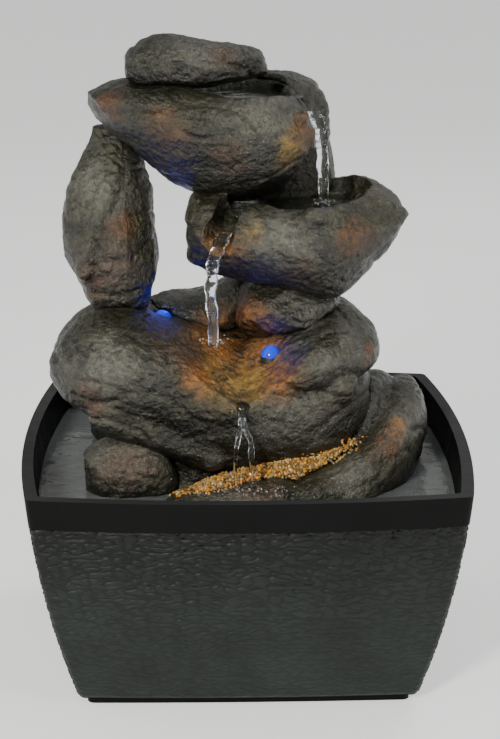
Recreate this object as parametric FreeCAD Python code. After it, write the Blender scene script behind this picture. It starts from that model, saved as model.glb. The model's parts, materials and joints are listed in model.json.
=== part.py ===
"""Tabletop water fountain: a tapered square basin with a perforated deck, a tower of stacked resin
stones, a submersible pump under the deck, a riser hose through the stones and two blue lamps.

Millimetres, +Z up, the front faces -Y, the origin is the centre of the base where the pads stand.
Every sub-part is written as one STEP file whose name is the node's name."""

import FreeCAD
import Part
import math
import os

V = FreeCAD.Vector
Y_AXIS, Z_AXIS = V(0, 1, 0), V(0, 0, 1)

# ---------------------------------------------------------------- driving dimensions
# basin
RIM_Z = 105.0              # top of the rim
WALL_BOTTOM_Z = 4.5        # underside of the tapered walls, above the foot ring
RIM_HALF = 95.0            # corner of the rim, from the centre plane
BASE_HALF = 76.2           # corner of the wall's lower edge
WALL_BULGE = 2.8           # how far the wall's profile stands outside a straight taper
RIM_BOW = 7.5              # how far each side bows out between corners at the rim
BASE_BOW = 2.0             # the same at the wall's lower edge
BAND_Z, PANEL_RECESS = 91.5, 0.7   # the smooth rim band stands this far proud of the grooved panels
CORNER_R = 3.5             # vertical corner rounding
RIM_WALL = 5.0             # wall thickness at the rim
FLOOR_WALL = 3.6           # wall thickness at the floor
FLOOR_Z = 8.0              # top of the basin floor
FOOT_HALF, FOOT_BOW, FOOT_W = 72.2, 1.0, 7.0
PAD_R, PAD_T, PAD_SINK, PAD_AT = 6.0, 1.5, 1.0, 63.0
PAD_OUT = PAD_T - PAD_SINK # the pads lift the foot ring by this much
# deck that carries the stones, just under the water line
DECK_TOP, DECK_T, DECK_GAP = 82.0, 2.6, 0.8
DECK_LOW = DECK_TOP - DECK_T
LEDGE, LEDGE_T = 19.0, 4.0 # legs of the triangular ledge in each corner, and its thickness
DRAIN_R, DRAIN_PITCH = 2.5, 13.0
FINGER_R, FINGER_INSET = 9.0, 11.0
# stones stand on the deck with this much clearance
STONE_Z = DECK_TOP + 0.1
# riser hose, on the pump's vertical nozzle
HOSE_X, HOSE_Y = 16.0, 14.0
HOSE_R, HOSE_BORE_R = 6.0, 4.5
HOSE_LOW, HOSE_TOP = 56.0, 259.0
DUCT_R = HOSE_R + 0.2
# pump
PUMP_W, PUMP_BODY_Y0, PUMP_BODY_Y1 = 40.0, 22.0, 50.0
PUMP_X0, PUMP_X1 = HOSE_X - PUMP_W / 2, HOSE_X + PUMP_W / 2
PUMP_LOW, PUMP_TOP = 14.0, 46.0
PUMP_AXIS_Z, PUMP_EDGE_R = 29.0, 4.0
CHAMBER_Y0 = 8.0
VOLUTE_R, VOLUTE_DEPTH, EYE_R = 12.5, 10.0, 6.5
EYE_Y = PUMP_BODY_Y0 - VOLUTE_DEPTH        # where the eye opens into the volute
COVER_T, SPONGE_T, SPIGOT_L, SPONGE_ROOM = 3.0, 5.2, 3.0, 0.8
COVER_Y0 = CHAMBER_Y0 - SPIGOT_L - SPONGE_T - COVER_T - SPONGE_ROOM
POCKET_GAP = 2.5           # from the cover's outside to its pocket
POCKET_X = (PUMP_X0 + POCKET_GAP, PUMP_X1 - POCKET_GAP)
POCKET_Z = (PUMP_LOW + POCKET_GAP, PUMP_TOP - POCKET_GAP)
SLIP = 0.08
WELL_R, WELL_DEPTH = 8.2, 21.0
WELL_END = PUMP_BODY_Y0 + WELL_DEPTH
MAGNET_R, MAGNET_L, MAGNET_Y0 = 7.6, 18.0, PUMP_BODY_Y0 + 1.5
SHAFT_R = 1.5
SHAFT_Y0, SHAFT_Y1 = CHAMBER_Y0 + 1.4, WELL_END + 3.2
FRONT_BUSH_R, REAR_BUSH_R, REAR_BUSH_L = 2.2, 3.2, 3.5
BUSH_Y0 = CHAMBER_Y0 + 1.2
RUN_GAP = 0.05             # radial running clearance on the shaft
IMPELLER_R, VANES, IMPELLER_Y0 = 9.5, 6, EYE_Y + 1.0
WINDOW_R, WINDOW_HUB_R = 10.5, 4.0         # the slotted intake, and the hub that the dial's peg goes through
DIAL_R, DIAL_T, DIAL_Y1, DIAL_OPEN = 12.0, 1.6, COVER_Y0 - 0.15, 85
NOZZLE_R, NOZZLE_BORE_R, NOZZLE_TOP = HOSE_BORE_R - 0.08, 3.0, 70.0
CUP_R, CUP_NECK_R = 8.0, 3.0
CUPS = [V(HOSE_X + sx * 13, y, 0) for sx in (-1, 1) for y in (14.0, 43.0)]
GLAND_R, GLAND_SINK, GLAND_TAIL = 3.5, 5.0, 8.0
PEG_R = 1.9                # the flow dial's peg
# lamp connector beside the riser
PLUG_X, PLUG_Y = HOSE_X, 38.0
PLUG_R, PIN_R, PIN_SINK = 4.6, 3.0, 6.0
PLUG_LOW, PLUG_TOP, PIN_TOP = 58.0, 90.0, 68.0
WIRE_SIDE, WIRE_IN_PLUG = 1.5, 2.0
# low-voltage inlet on the back wall, above the water
INLET_X, INLET_Z = 42.0, 97.0
INLET_BARREL_R, INLET_BORE_R, INLET_PIN_R = 5.5, 2.8, 1.0
FLANGE_R, SEAL_R, NUT_R, NUT_T = 7.2, 7.0, 8.0, 3.4
LEAD_R = 2.0
GLAND_X, GLAND_Z = HOSE_X + 10.0, 21.0
# lamps
LAMP_R, LAMP_H, LENS_H = 4.6, 8.0, 4.6
LAMPS = {"front": V(11, -31, 142), "left": V(-38, -8, 153)}
WIRE_R = 0.9

PARTS = {}


# ---------------------------------------------------------------- helpers
def box(x0, x1, y0, y1, z0, z1):
    return Part.makeBox(x1 - x0, y1 - y0, z1 - z0, V(x0, y0, z0))


def rod(r, start, end):
    """A cylinder between two points."""
    return Part.makeCylinder(r, (end - start).Length, start, end - start)


def tube(r_out, r_in, start, end):
    return rod(r_out, start, end).cut(rod(r_in, start, end))


def rounded_upright(block, r):
    """A box with its four upright edges rounded."""
    return block.makeFillet(r, [e for e in block.Edges if abs(e.Vertexes[0].Z - e.Vertexes[1].Z) > 1])


def biggest(shape):
    """The largest solid of a shape: crumbs that a cut leaves behind are dropped."""
    solids = sorted(shape.Solids, key=lambda s: s.Volume)
    return solids[-1]


def section(centre_u, half_u, low, high, waist, power=2.4, points=14):
    """Closed outline as (u, v) pairs. It is widest at the waist, a share of the height from its foot."""
    middle = low + waist * (high - low)
    outline = []
    for k in range(points):
        angle = 2 * math.pi * k / points
        c, s = math.cos(angle), math.sin(angle)
        u = centre_u + half_u * math.copysign(abs(c) ** (2 / power), c)
        reach = (high - middle) if s >= 0 else (middle - low)
        outline.append((u, middle + reach * math.copysign(abs(s) ** (2 / power), s)))
    return outline


def closed_wire(points):
    curve = Part.BSplineCurve()
    curve.interpolate(Points=points, PeriodicFlag=True)
    return Part.Wire(curve.toShape())


def stone_along_x(rows):
    """A stone from sections across X: each row is x, y front, y back, z low, z high, waist."""
    wires = []
    for x, y0, y1, z0, z1, waist in rows:
        outline = section((y0 + y1) / 2, (y1 - y0) / 2, z0, z1, waist)
        wires.append(closed_wire([V(x, u, v) for u, v in outline]))
    return Part.makeLoft(wires, True, False)


def stone_along_z(rows):
    """A stone from level sections: each row is z, x left, x right, y front, y back."""
    wires = []
    for z, x0, x1, y0, y1 in rows:
        outline = section((x0 + x1) / 2, (x1 - x0) / 2, y0, y1, 0.5)
        wires.append(closed_wire([V(u, v, z) for u, v in outline]))
    return Part.makeLoft(wires, True, False)


def trough(path, radii, open_to):
    """The room that running water needs, repeated towards the side where it is open."""
    once = run_of_water(path, radii)
    opened = once.copy()
    opened.translate(open_to)
    return once.fuse(opened)


def funnel(rows):
    """A V-shaped dish that runs down to the front: each row is y, half width, floor, height of the sides."""
    centre, ceiling, bend, bend_rise = -2.5, 210, 0.5, 0.42
    wires = []
    for y, half, floor, side in rows:
        knee = floor + bend_rise * (side - floor)
        outline = [(-half, side), (-bend * half, knee), (0, floor), (bend * half, knee), (half, side),
                   (half, ceiling), (-half, ceiling), (-half, side)]
        wires.append(Part.makePolygon([V(centre + x, y, z) for x, z in outline]))
    return Part.makeLoft(wires, True, True)


def run_of_water(path, radii):
    shape = None
    for k, (point, r) in enumerate(zip(path, radii)):
        ball = Part.makeSphere(r, point)
        shape = ball if shape is None else shape.fuse(ball)
        if k:
            before, r_before = path[k - 1], radii[k - 1]
            length = (point - before).Length
            if abs(r - r_before) < 1e-6:
                part = Part.makeCylinder(r, length, before, point - before)
            else:
                part = Part.makeCone(r_before, r, length, before, point - before)
            shape = shape.fuse(part)
    return shape


def bowl_cutter(x0, x1, y0, y1, floor, top):
    """A rounded pool: a level ellipse at the floor that opens towards the top."""
    grow = 1.12
    wires = []
    for z, share in ((floor, 0.72), (floor + 2.5, 0.93), (top, grow)):
        hx, hy = (x1 - x0) / 2 * share, (y1 - y0) / 2 * share
        outline = section((x0 + x1) / 2, hx, (y0 + y1) / 2 - hy, (y0 + y1) / 2 + hy, 0.5)
        wires.append(closed_wire([V(u, v, z) for u, v in outline]))
    return Part.makeLoft(wires, True, False)


def route(points, radius):
    """A wire of straight runs joined by tangent arcs, as large as the two runs allow."""
    edges, start = [], points[0]
    for before, here, after in zip(points, points[1:], points[2:]):
        a, b = (before - here), (after - here)
        turn = math.pi - a.getAngle(b)
        reach = 0.45 * min(a.Length, b.Length)
        r = min(radius, reach / math.tan(turn / 2)) if radius else reach / math.tan(turn / 2)
        cut = r * math.tan(turn / 2)
        ua, ub = V(a).normalize(), V(b).normalize()
        p0, p1 = here + ua * cut, here + ub * cut
        inward = (ua + ub).normalize()
        centre = here + inward * (r / math.cos(turn / 2))
        middle = centre - inward * r
        edges.append(Part.LineSegment(start, p0).toShape())
        edges.append(Part.Arc(p0, middle, p1).toShape())
        start = p1
    edges.append(Part.LineSegment(start, points[-1]).toShape())
    return Part.Wire(edges)


def lead(points, r):
    """A round cable along a route."""
    path = route(points, None)
    profile = Part.Wire(Part.makeCircle(r, points[0], points[1] - points[0]))
    return path.makePipeShell([profile], True, False, 2)


# ---------------------------------------------------------------- basin
def side_share(z):
    return (z - WALL_BOTTOM_Z) / (RIM_Z - WALL_BOTTOM_Z)


def half_at(z):
    u = side_share(z)
    return BASE_HALF + (RIM_HALF - BASE_HALF) * u + 4 * WALL_BULGE * u * (1 - u)


def bow_at(z):
    return BASE_BOW + (RIM_BOW - BASE_BOW) * side_share(z)


def wall_at(z):
    return FLOOR_WALL + (RIM_WALL - FLOOR_WALL) * side_share(z)


def bowed_square(half, bow, r, z):
    """A square whose four sides bow outwards, with rounded corners, as a wire of eight arcs."""
    big = (half * half + bow * bow) / (2 * bow)
    cx = half + bow - big
    d = (2 * cx + math.sqrt(4 * cx * cx - 8 * (cx * cx - (big - r) ** 2))) / 4
    to_corner = V(d - cx, d, 0).normalize()
    touch = V(cx, 0, 0) + to_corner * big
    tip = d + r / math.sqrt(2)
    edges = []
    for k in range(4):
        turn = FreeCAD.Rotation(Z_AXIS, 90 * k)
        low = turn.multVec(V(touch.x, -touch.y, 0))
        high = turn.multVec(touch)
        bulge = turn.multVec(V(half + bow, 0, 0))
        corner = turn.multVec(V(tip, tip, 0))
        after = turn.multVec(V(touch.y, touch.x, 0))
        edges.append(Part.Arc(low, bulge, high).toShape())
        edges.append(Part.Arc(high, corner, after).toShape())
    wire = Part.Wire(edges)
    wire.translate(V(0, 0, z))
    return wire


def slab(wire, height):
    return Part.Face(wire).extrude(V(0, 0, height))


def inner_y(x, z):
    """Where the inside of the back wall is, at a height and a place along it."""
    half = half_at(z) - wall_at(z)
    return half + bow_at(z) * (1 - (x / half) ** 2)


def tapered(levels, inset, r):
    """The basin's outside, or the room inside it, lofted through level squares."""
    return Part.makeLoft([bowed_square(half_at(z) - inset(z), bow_at(z), r, z) for z in levels], True, False)


def corners():
    return [(sx, sy) for sx in (-1, 1) for sy in (-1, 1)]


def basin_walls(room):
    levels = [WALL_BOTTOM_Z, 28.0, 52.0, 78.0, RIM_Z]
    band = tapered(levels, lambda z: 0, CORNER_R).common(box(-120, 120, -120, 120, BAND_Z, RIM_Z + 1))
    panels = tapered(levels, lambda z: PANEL_RECESS, CORNER_R).common(box(-120, 120, -120, 120, 0, BAND_Z))
    return band.fuse(panels).cut(room)


def foot_ring():
    height = WALL_BOTTOM_Z - PAD_OUT + 0.5
    outside = slab(bowed_square(FOOT_HALF, FOOT_BOW, CORNER_R, PAD_OUT), height)
    ring = outside.cut(slab(bowed_square(FOOT_HALF - FOOT_W, FOOT_BOW, CORNER_R * 0.6, PAD_OUT), height))
    for sx, sy in corners():
        at = V(sx * PAD_AT, sy * PAD_AT, PAD_OUT)
        ring = ring.fuse(Part.makeCylinder(PAD_R + 2.5, height, at))
    return ring


def ledge(sx, sy):
    """The triangle in a corner that the deck rests on."""
    tip = V(sx * half_at(DECK_LOW), sy * half_at(DECK_LOW), DECK_LOW - LEDGE_T)
    triangle = Part.makePolygon([tip, tip - V(sx * LEDGE, 0, 0), tip - V(0, sy * LEDGE, 0), tip])
    return Part.Face(triangle).extrude(V(0, 0, LEDGE_T))


def basin_shell():
    room = tapered([FLOOR_Z, 30.0, 54.0, 79.0, RIM_Z], wall_at, CORNER_R * 0.6)
    shell = basin_walls(room).fuse(foot_ring())
    for sx, sy in corners():
        shell = shell.fuse(ledge(sx, sy).common(room))
        shell = shell.cut(Part.makeCylinder(PAD_R, PAD_SINK, V(sx * PAD_AT, sy * PAD_AT, PAD_OUT)))
    hole = rod(INLET_BARREL_R + 0.1, V(INLET_X, 80, INLET_Z), V(INLET_X, 110, INLET_Z))
    return shell.cut(hole).removeSplitter()


def pads():
    return Part.makeCompound([
        Part.makeCylinder(PAD_R, PAD_T, V(sx * PAD_AT, sy * PAD_AT, 0)) for sx, sy in corners()])


def deck():
    """The perforated plate that carries the stones and lets the water back through."""
    half, bow = half_at(DECK_LOW) - wall_at(DECK_LOW) - DECK_GAP, bow_at(DECK_LOW)
    plate = slab(bowed_square(half, bow, CORNER_R, DECK_LOW), DECK_T)
    drains = []
    count = int(half // DRAIN_PITCH)
    for i in range(-count, count + 1):
        for j in range(-count, count + 1):
            x, y = i * DRAIN_PITCH, j * DRAIN_PITCH
            near_edge = max(abs(x), abs(y)) > half - 6
            in_corner = abs(x) + abs(y) > 2 * half - 34
            by_pipes = (x - HOSE_X) ** 2 + (y - (HOSE_Y + PLUG_Y) / 2) ** 2 < 28 ** 2
            by_fingers = abs(x) < 14 and abs(y) > half - 24
            by_notch = abs(x - INLET_X) < 16 and y > half - 18
            if not (near_edge or in_corner or by_pipes or by_fingers or by_notch):
                drains.append(Part.makeCylinder(DRAIN_R, DECK_T + 2, V(x, y, DECK_LOW - 1)))
    for x, y, r in ((HOSE_X, HOSE_Y, HOSE_R + 1.5), (PLUG_X, PLUG_Y, PLUG_R + 1.5),
                    (0, half - FINGER_INSET, FINGER_R), (0, FINGER_INSET - half, FINGER_R)):
        drains.append(Part.makeCylinder(r, DECK_T + 2, V(x, y, DECK_LOW - 1)))
    plate = plate.cut(Part.makeCompound(drains))
    return plate.cut(box(INLET_X - 10, INLET_X + 10, 74, 110, DECK_LOW - 1, DECK_TOP + 1))


# ---------------------------------------------------------------- stones
STONES_X = {
    "cap_stone": [
        (-53.5, -13, 5, 273, 280, .5), (-50.5, -22, 12, 269.5, 284.5, .5), (-41, -28, 18, 267.5, 289, .5),
        (-26, -31, 20, 267.5, 289.5, .5), (-13, -29, 19, 268.5, 287, .5), (-3, -26, 17, 270, 286, .5),
        (5, -22, 13, 270.5, 285, .5), (9.4, -15, 7, 272.5, 282.5, .5), (10.6, -9, 1, 275, 280, .5)],
    "upper_bowl_stone": [
        (-71.5, -13, 6, 256.5, 266, .5), (-66.5, -22, 13, 252, 268, .6), (-54, -33, 22, 242.5, 270, .72),
        (-38, -39, 28, 230, 271, .74), (-18, -42, 32, 220.5, 269.5, .74), (2, -43, 33, 219.5, 269.5, .74),
        (14, -40, 32, 221, 269, .72), (23, -34, 26, 231, 263, .66), (28.5, -28, 14, 240, 255, .6),
        (31, -24, -4, 244.5, 251, .5)],
    "middle_bowl_stone": [
        (-27, -30, -12, 200, 212, .5), (-23.5, -38, 4, 190, 220.5, .55), (-14, -44, 22, 185, 223.5, .6),
        (0, -46, 32, 181, 223.5, .65), (16, -46, 38, 177, 222, .68), (32, -44, 40, 171, 221.5, .7),
        (44, -40, 38, 173, 224, .7), (54, -34, 33, 182, 225, .68), (63, -27, 25, 191, 222, .62),
        (71, -18, 14, 200, 215, .55), (74.5, -10, 6, 205, 210.5, .5)],
    "neck_stone": [
        (-4, -18, 12, 158, 171, .5), (2, -28, 26, 154, 179, .5), (16, -33, 32, 152, 183, .5),
        (32, -30, 31, 153, 180, .5), (40, -22, 22, 155, 174, .5), (44, -12, 12, 159, 168, .5)],
    "sill_stone": [
        (-47, 2, 22, 156, 165, .5), (-42, -6, 30, 151, 168.5, .5), (-30, -9, 35, 149, 169.5, .5),
        (-16, -8, 36, 149, 171, .5), (-4, -4, 34, 150, 178, .5), (3, 4, 26, 156, 174, .5)],
    "left_shelf_stone": [
        (-88.5, -22, 2, 137.5, 146, .5), (-85, -34, 16, 130, 155, .52), (-75, -45, 27, 122, 163, .55),
        (-60, -52, 36, 115, 168, .58), (-43, -55, 40, 110, 166, .62), (-28, -54, 42, 108, 161, .66),
        (-14, -51, 42, 112, 156, .66), (-5, -44, 36, 120, 150, .62), (-2, -36, 26, 127, 144, .6)],
    "right_shelf_stone": [
        (-6, -42, 30, 134, 146, .6), (2, -50, 40, 127, 153, .6), (16, -54, 43, 124, 160, .62),
        (32, -52, 41, 128, 166, .62), (44, -46, 35, 134, 166.5, .6), (53, -37, 25, 139, 161, .55),
        (58.5, -26, 12, 142, 156, .5), (60.5, -18, 3, 146, 152, .5)],
    "left_pebble": [
        (-75, -42, -30, 94, 102, .5), (-71, -48, -24, 86, 109, .55), (-60, -53, -20, 80, 113.5, .58),
        (-47, -54, -20, 80, 114, .58), (-37, -49, -23, 82, 110, .55), (-31, -43, -29, 91, 103, .5)],
    "right_lip_stone": [
        (18, -58, -47, 84, 91, .5), (25, -61, -41, 79, 97.5, .55), (38, -61, -33, 78, 103, .6),
        (50, -57, -22, 78, 108.5, .6), (60, -50, 6, 78, 116, .6), (69, -41, 34, 78, 124, .6),
        (77, -27, 42, 81, 126, .6), (83, -8, 37, 90, 120, .55), (86, 6, 24, 98, 111, .5)],
    "apron_stone": [
        (-36, -57, -47, 82, 89, .5), (-26, -63, -42, 79, 92, .55), (-8, -65, -40, 78, 95, .55),
        (8, -64, -40, 78, 99, .55), (20, -61, -43, 79, 97.5, .55), (27, -56, -48, 83, 92, .5)],
    "gravel_bed": [
        (-34, -54, -46, 84, 91, .5), (-22, -55, -38, 80, 96.5, .55), (0, -54, -32, 80, 103, .6),
        (20, -50, -26, 80, 108, .6), (38, -42, -16, 80, 112.5, .6), (52, -32, -8, 82, 115.5, .6),
        (57, -26, -14, 88, 112, .5)],
    "bank_stone": [
        (34, -34, 26, 80, 116, .6), (46, -31, 34, 80, 124, .6), (58, -26, 40, 80, 129, .6),
        (67, -12, 42, 80, 127, .6), (73, 6, 36, 88, 120, .5)],
    "rear_left_stone": [
        (-74, 26, 40, 92, 112, .5), (-68, 18, 52, 80, 126, .5), (-50, 12, 60, 78, 136, .5),
        (-28, 14, 62, 78, 134, .5), (-12, 22, 58, 80, 122, .5), (-6, 30, 50, 90, 110, .5)],
    "rear_right_stone": [
        (-14, 30, 50, 88, 112, .5), (-6, 20, 60, 79, 128, .5), (14, 14, 64, 78, 136, .5),
        (34, 16, 62, 78, 130, .5), (50, 24, 56, 82, 118, .5), (57, 32, 48, 90, 106, .5)],
}
STONES_Z = {
    "riser_stone": [
        (205, 4, 42, 2, 40), (216, 4, 42, 4, 43), (230, 4, 41, 5, 45), (243, 3, 40, 6, 46),
        (256, 0, 39, 7, 46), (264, -3, 34, 8, 42), (268.5, 2, 27, 12, 36), (270.5, 8, 20, 18, 30)],
    "pillar_stone": [
        (160, -64, -50, -8, 10), (165, -69.5, -44.5, -14, 15), (174, -75.5, -40.5, -18, 19),
        (185, -81, -39, -20, 21), (196, -83.7, -39.5, -21, 22), (210, -82.7, -41.5, -20, 21),
        (224, -79, -42.5, -18, 19), (236, -73.5, -47, -15, 16), (245, -70, -52, -11, 12),
        (252, -66, -57, -6, 7)],
    "spout_stone": [
        (127, -7, 3, -52, -42), (131, -12, 7, -58, -32), (137, -18, 13, -58, -20),
        (143, -21, 17, -54, -8), (149, -20, 16, -44, 0), (154, -15, 11, -32, 6)],
    "base_stone": [
        (STONE_Z, -60, 57, -42, 50), (92, -60, 57, -42, 51), (104, -56, 55, -45, 50), (114, -60, 57, -51, 48),
        (124, -69, 58, -54, 46), (134, -75, 57, -55, 44), (142, -74, 53, -48, 42), (147, -66, 46, -36, 36)],
}
# Each stone is cut back by those before it, so that it sits on them with a matching seat.
STONE_ORDER = [
    "base_stone", "left_shelf_stone", "right_shelf_stone", "spout_stone", "sill_stone", "neck_stone",
    "middle_bowl_stone", "pillar_stone", "upper_bowl_stone", "riser_stone", "cap_stone", "right_lip_stone",
    "left_pebble", "bank_stone", "apron_stone", "rear_left_stone", "rear_right_stone", "gravel_bed"]


def water_ways():
    """What the water needs cut out of the stones, by stone."""
    upper_pool = bowl_cutter(-24, 20, -30, 19, 258.5, 276)
    upper_spout = trough([V(12, -4, 268), V(23, -10, 262), V(34, -17, 253)], [6.5, 5.5, 4.5], V(2, 0, 7))
    middle_pool = bowl_cutter(-8, 52, -33, 16, 211, 234)
    middle_spout = trough(
        [V(6, -20, 220), V(-6, -31, 217), V(-12, -43, 208), V(-15, -49, 198), V(-16, -52, 184)],
        [8, 7.5, 6.5, 5.5, 5], V(0, -5, 8))
    shelf_spout = funnel([
        (4, 41, 157, 178), (-20, 38, 150, 170), (-40, 36, 140, 163), (-54, 33, 131.5, 158),
        (-66, 30, 127, 155)])
    return {
        "upper_bowl_stone": [upper_pool, upper_spout],
        "riser_stone": [upper_pool],
        "middle_bowl_stone": [middle_pool, middle_spout],
        "spout_stone": [shelf_spout],
        "left_shelf_stone": [shelf_spout],
        "right_shelf_stone": [shelf_spout],
        "base_stone": [shelf_spout],
    }


def lamp_seat(at):
    """The pocket that a lamp is set in, open above it."""
    return Part.makeCylinder(LAMP_R + 0.05, LAMP_H + LENS_H + 1, at)


def stones():
    made = {name: stone_along_x(rows) for name, rows in STONES_X.items()}
    made.update({name: stone_along_z(rows) for name, rows in STONES_Z.items()})
    ways = water_ways()
    duct = rod(DUCT_R, V(HOSE_X, HOSE_Y, 60), V(HOSE_X, HOSE_Y, HOSE_TOP))
    mouth = rod(HOSE_BORE_R, V(HOSE_X, HOSE_Y, HOSE_TOP - 1), V(HOSE_X, HOSE_Y, HOSE_TOP + 6))
    below_deck = box(-120, 120, -120, 120, 0, STONE_Z)
    cavity = rounded_upright(box(-46, 36, -24, 46, 70, 112), 6)
    seats = [lamp_seat(at) for at in LAMPS.values()]
    channels = [lead(points, WIRE_R + 0.25) for points in lamp_wires().values()]
    finished = []
    for name in STONE_ORDER:
        stone = made[name]
        for cutter in ways.get(name, []):
            stone = stone.cut(cutter)
        if stone.BoundBox.ZMin < STONE_Z - 1e-6:
            stone = stone.cut(below_deck)
        for cutter in [duct, mouth, cavity, *seats, *channels]:
            if stone.BoundBox.intersect(cutter.BoundBox):
                stone = stone.cut(cutter)
        for other in finished:
            if stone.BoundBox.intersect(other.BoundBox):
                stone = stone.cut(other)
        stone = biggest(stone)
        finished.append(stone)
        PARTS[name] = stone


# ---------------------------------------------------------------- riser hose and lamps
def riser_hose():
    return tube(HOSE_R, HOSE_BORE_R, V(HOSE_X, HOSE_Y, HOSE_LOW), V(HOSE_X, HOSE_Y, HOSE_TOP))


def lamp(at):
    """A potted lamp: its housing with a pocket for the board, the board with its chip, and the lens."""
    housing = Part.makeCylinder(LAMP_R, LAMP_H, at)
    housing = housing.cut(Part.makeCylinder(LAMP_R - 1, 3.2, at + V(0, 0, LAMP_H - 3.2)))
    housing = housing.cut(rod(WIRE_R, at, at + V(0, 0, LAMP_H)))
    board = Part.makeCylinder(LAMP_R - 1.05, 1.0, at + V(0, 0, LAMP_H - 3.2))
    chip = box(-1.4, 1.4, -1.4, 1.4, 0, 0.9)
    chip.translate(at + V(0, 0, LAMP_H - 2.2))
    rim = Part.makeCylinder(LAMP_R - 1.05, 1.2, at + V(0, 0, LAMP_H - 1.2))
    cap = Part.makeSphere(LAMP_R, V(0, 0, 0), Z_AXIS, 0, 90, 360)
    squeeze = FreeCAD.Matrix()
    squeeze.scale(V(1, 1, LENS_H / LAMP_R))
    dome = cap.transformGeometry(squeeze)
    dome.translate(at + V(0, 0, LAMP_H))
    return housing, board.fuse(chip), rim.fuse(dome)


def lamp_wires():
    """Each lamp's wire drops through the stones into the hollow base and ends in the connector."""
    start = {name: at + V(0, 0, LAMP_H - 3.2) for name, at in LAMPS.items()}
    front, left = LAMPS["front"], LAMPS["left"]
    ends = {side: [V(PLUG_X, PLUG_Y + dy, 99), V(PLUG_X, PLUG_Y + dy, PLUG_TOP - WIRE_IN_PLUG)]
            for side, dy in (("front", -WIRE_SIDE), ("left", WIRE_SIDE))}
    return {
        "front": [start["front"], V(front.x, front.y, 116), V(4, 14, 98), V(12, 30, 99)] + ends["front"],
        "left": [start["left"], V(left.x, left.y, 103), V(-15, 32, 99)] + ends["left"]}


# ---------------------------------------------------------------- pump
def on_axis(y):
    """A point on the pump's level axis."""
    return V(HOSE_X, y, PUMP_AXIS_Z)


def rounded_along_y(block, r):
    """A box with its four edges along Y rounded."""
    return block.makeFillet(r, [e for e in block.Edges if abs(e.Vertexes[0].Y - e.Vertexes[1].Y) > 1])


def pump_body():
    body = box(PUMP_X0, PUMP_X1, PUMP_BODY_Y0, PUMP_BODY_Y1, PUMP_LOW, PUMP_TOP)
    body = rounded_along_y(body, PUMP_EDGE_R)
    well = rod(WELL_R, on_axis(PUMP_BODY_Y0), on_axis(WELL_END))
    rear_seat = rod(REAR_BUSH_R, on_axis(WELL_END - 1), on_axis(WELL_END + REAR_BUSH_L))
    lamp_hole = rod(PIN_R, V(PLUG_X, PLUG_Y, PUMP_TOP - PIN_SINK), V(PLUG_X, PLUG_Y, PUMP_TOP + 1))
    gland_hole = rod(GLAND_R, gland_at(PUMP_BODY_Y1 - GLAND_SINK), gland_at(PUMP_BODY_Y1 + 1))
    return body.cut(well).cut(rear_seat).cut(lamp_hole).cut(gland_hole)


def spider():
    """Three arms that hold the front bush in the eye."""
    y0 = CHAMBER_Y0 + 0.2
    arms = rod(FRONT_BUSH_R + 1, on_axis(y0), on_axis(EYE_Y))
    for k in range(3):
        arm = box(-0.8, 0.8, 0, EYE_Y - y0, 0, EYE_R + 0.7)
        arm.rotate(V(0, 0, 0), Y_AXIS, 120 * k)
        arm.translate(on_axis(y0))
        arms = arms.fuse(arm)
    return arms.common(rod(EYE_R + 0.5, on_axis(CHAMBER_Y0), on_axis(PUMP_BODY_Y0)))


def pump_chamber():
    """The volute's housing, with the spigot for the cover in front and the hose nozzle on top."""
    block = box(PUMP_X0 + 2, PUMP_X1 - 2, CHAMBER_Y0, PUMP_BODY_Y0, PUMP_LOW, PUMP_TOP - 1)
    block = rounded_along_y(block, PUMP_EDGE_R)
    (px0, px1), (pz0, pz1) = POCKET_X, POCKET_Z
    front = CHAMBER_Y0 - SPIGOT_L
    spigot = box(px0 + SLIP, px1 - SLIP, front, CHAMBER_Y0, pz0 + SLIP, pz1 - SLIP)
    spigot = spigot.cut(box(px0 + 2, px1 - 2, front - 1, CHAMBER_Y0 + 1, pz0 + 2, pz1 - 2))
    foot = V(HOSE_X, HOSE_Y, PUMP_TOP - 1)
    nozzle = rod(NOZZLE_R, foot, V(HOSE_X, HOSE_Y, NOZZLE_TOP))
    nozzle = nozzle.fuse(Part.makeCone(5.8, NOZZLE_R, 6, foot, Z_AXIS))
    bore = rod(NOZZLE_BORE_R, V(HOSE_X, HOSE_Y, PUMP_AXIS_Z + 4), V(HOSE_X, HOSE_Y, NOZZLE_TOP + 1))
    volute = rod(VOLUTE_R, on_axis(EYE_Y), on_axis(PUMP_BODY_Y0))
    eye = rod(EYE_R, on_axis(CHAMBER_Y0), on_axis(EYE_Y))
    chamber = block.fuse(spigot).fuse(nozzle).cut(volute).cut(eye).cut(bore)
    return chamber.fuse(spider()).cut(rod(FRONT_BUSH_R, on_axis(BUSH_Y0), on_axis(PUMP_BODY_Y0)))


def shaft():
    return rod(SHAFT_R, on_axis(SHAFT_Y0), on_axis(SHAFT_Y1))


def running_bore(y0, y1):
    return rod(SHAFT_R + RUN_GAP, on_axis(y0), on_axis(y1))


def rotor_magnet():
    y1 = MAGNET_Y0 + MAGNET_L
    return rod(MAGNET_R, on_axis(MAGNET_Y0), on_axis(y1)).cut(running_bore(MAGNET_Y0, y1))


def impeller():
    """A hub with straight vanes and a thin disc behind them."""
    wheel = rod(3.4, on_axis(IMPELLER_Y0), on_axis(MAGNET_Y0))
    wheel = wheel.fuse(rod(IMPELLER_R, on_axis(MAGNET_Y0 - 3.2), on_axis(MAGNET_Y0 - 2.0)))
    for k in range(VANES):
        vane = box(2.6, IMPELLER_R, 0, MAGNET_Y0 - 3.0 - IMPELLER_Y0, -0.5, 0.5)
        vane.rotate(V(0, 0, 0), Y_AXIS, 360 / VANES * k)
        vane.translate(on_axis(IMPELLER_Y0))
        wheel = wheel.fuse(vane)
    return wheel.cut(running_bore(IMPELLER_Y0 - 1, MAGNET_Y0 + 1))


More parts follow.
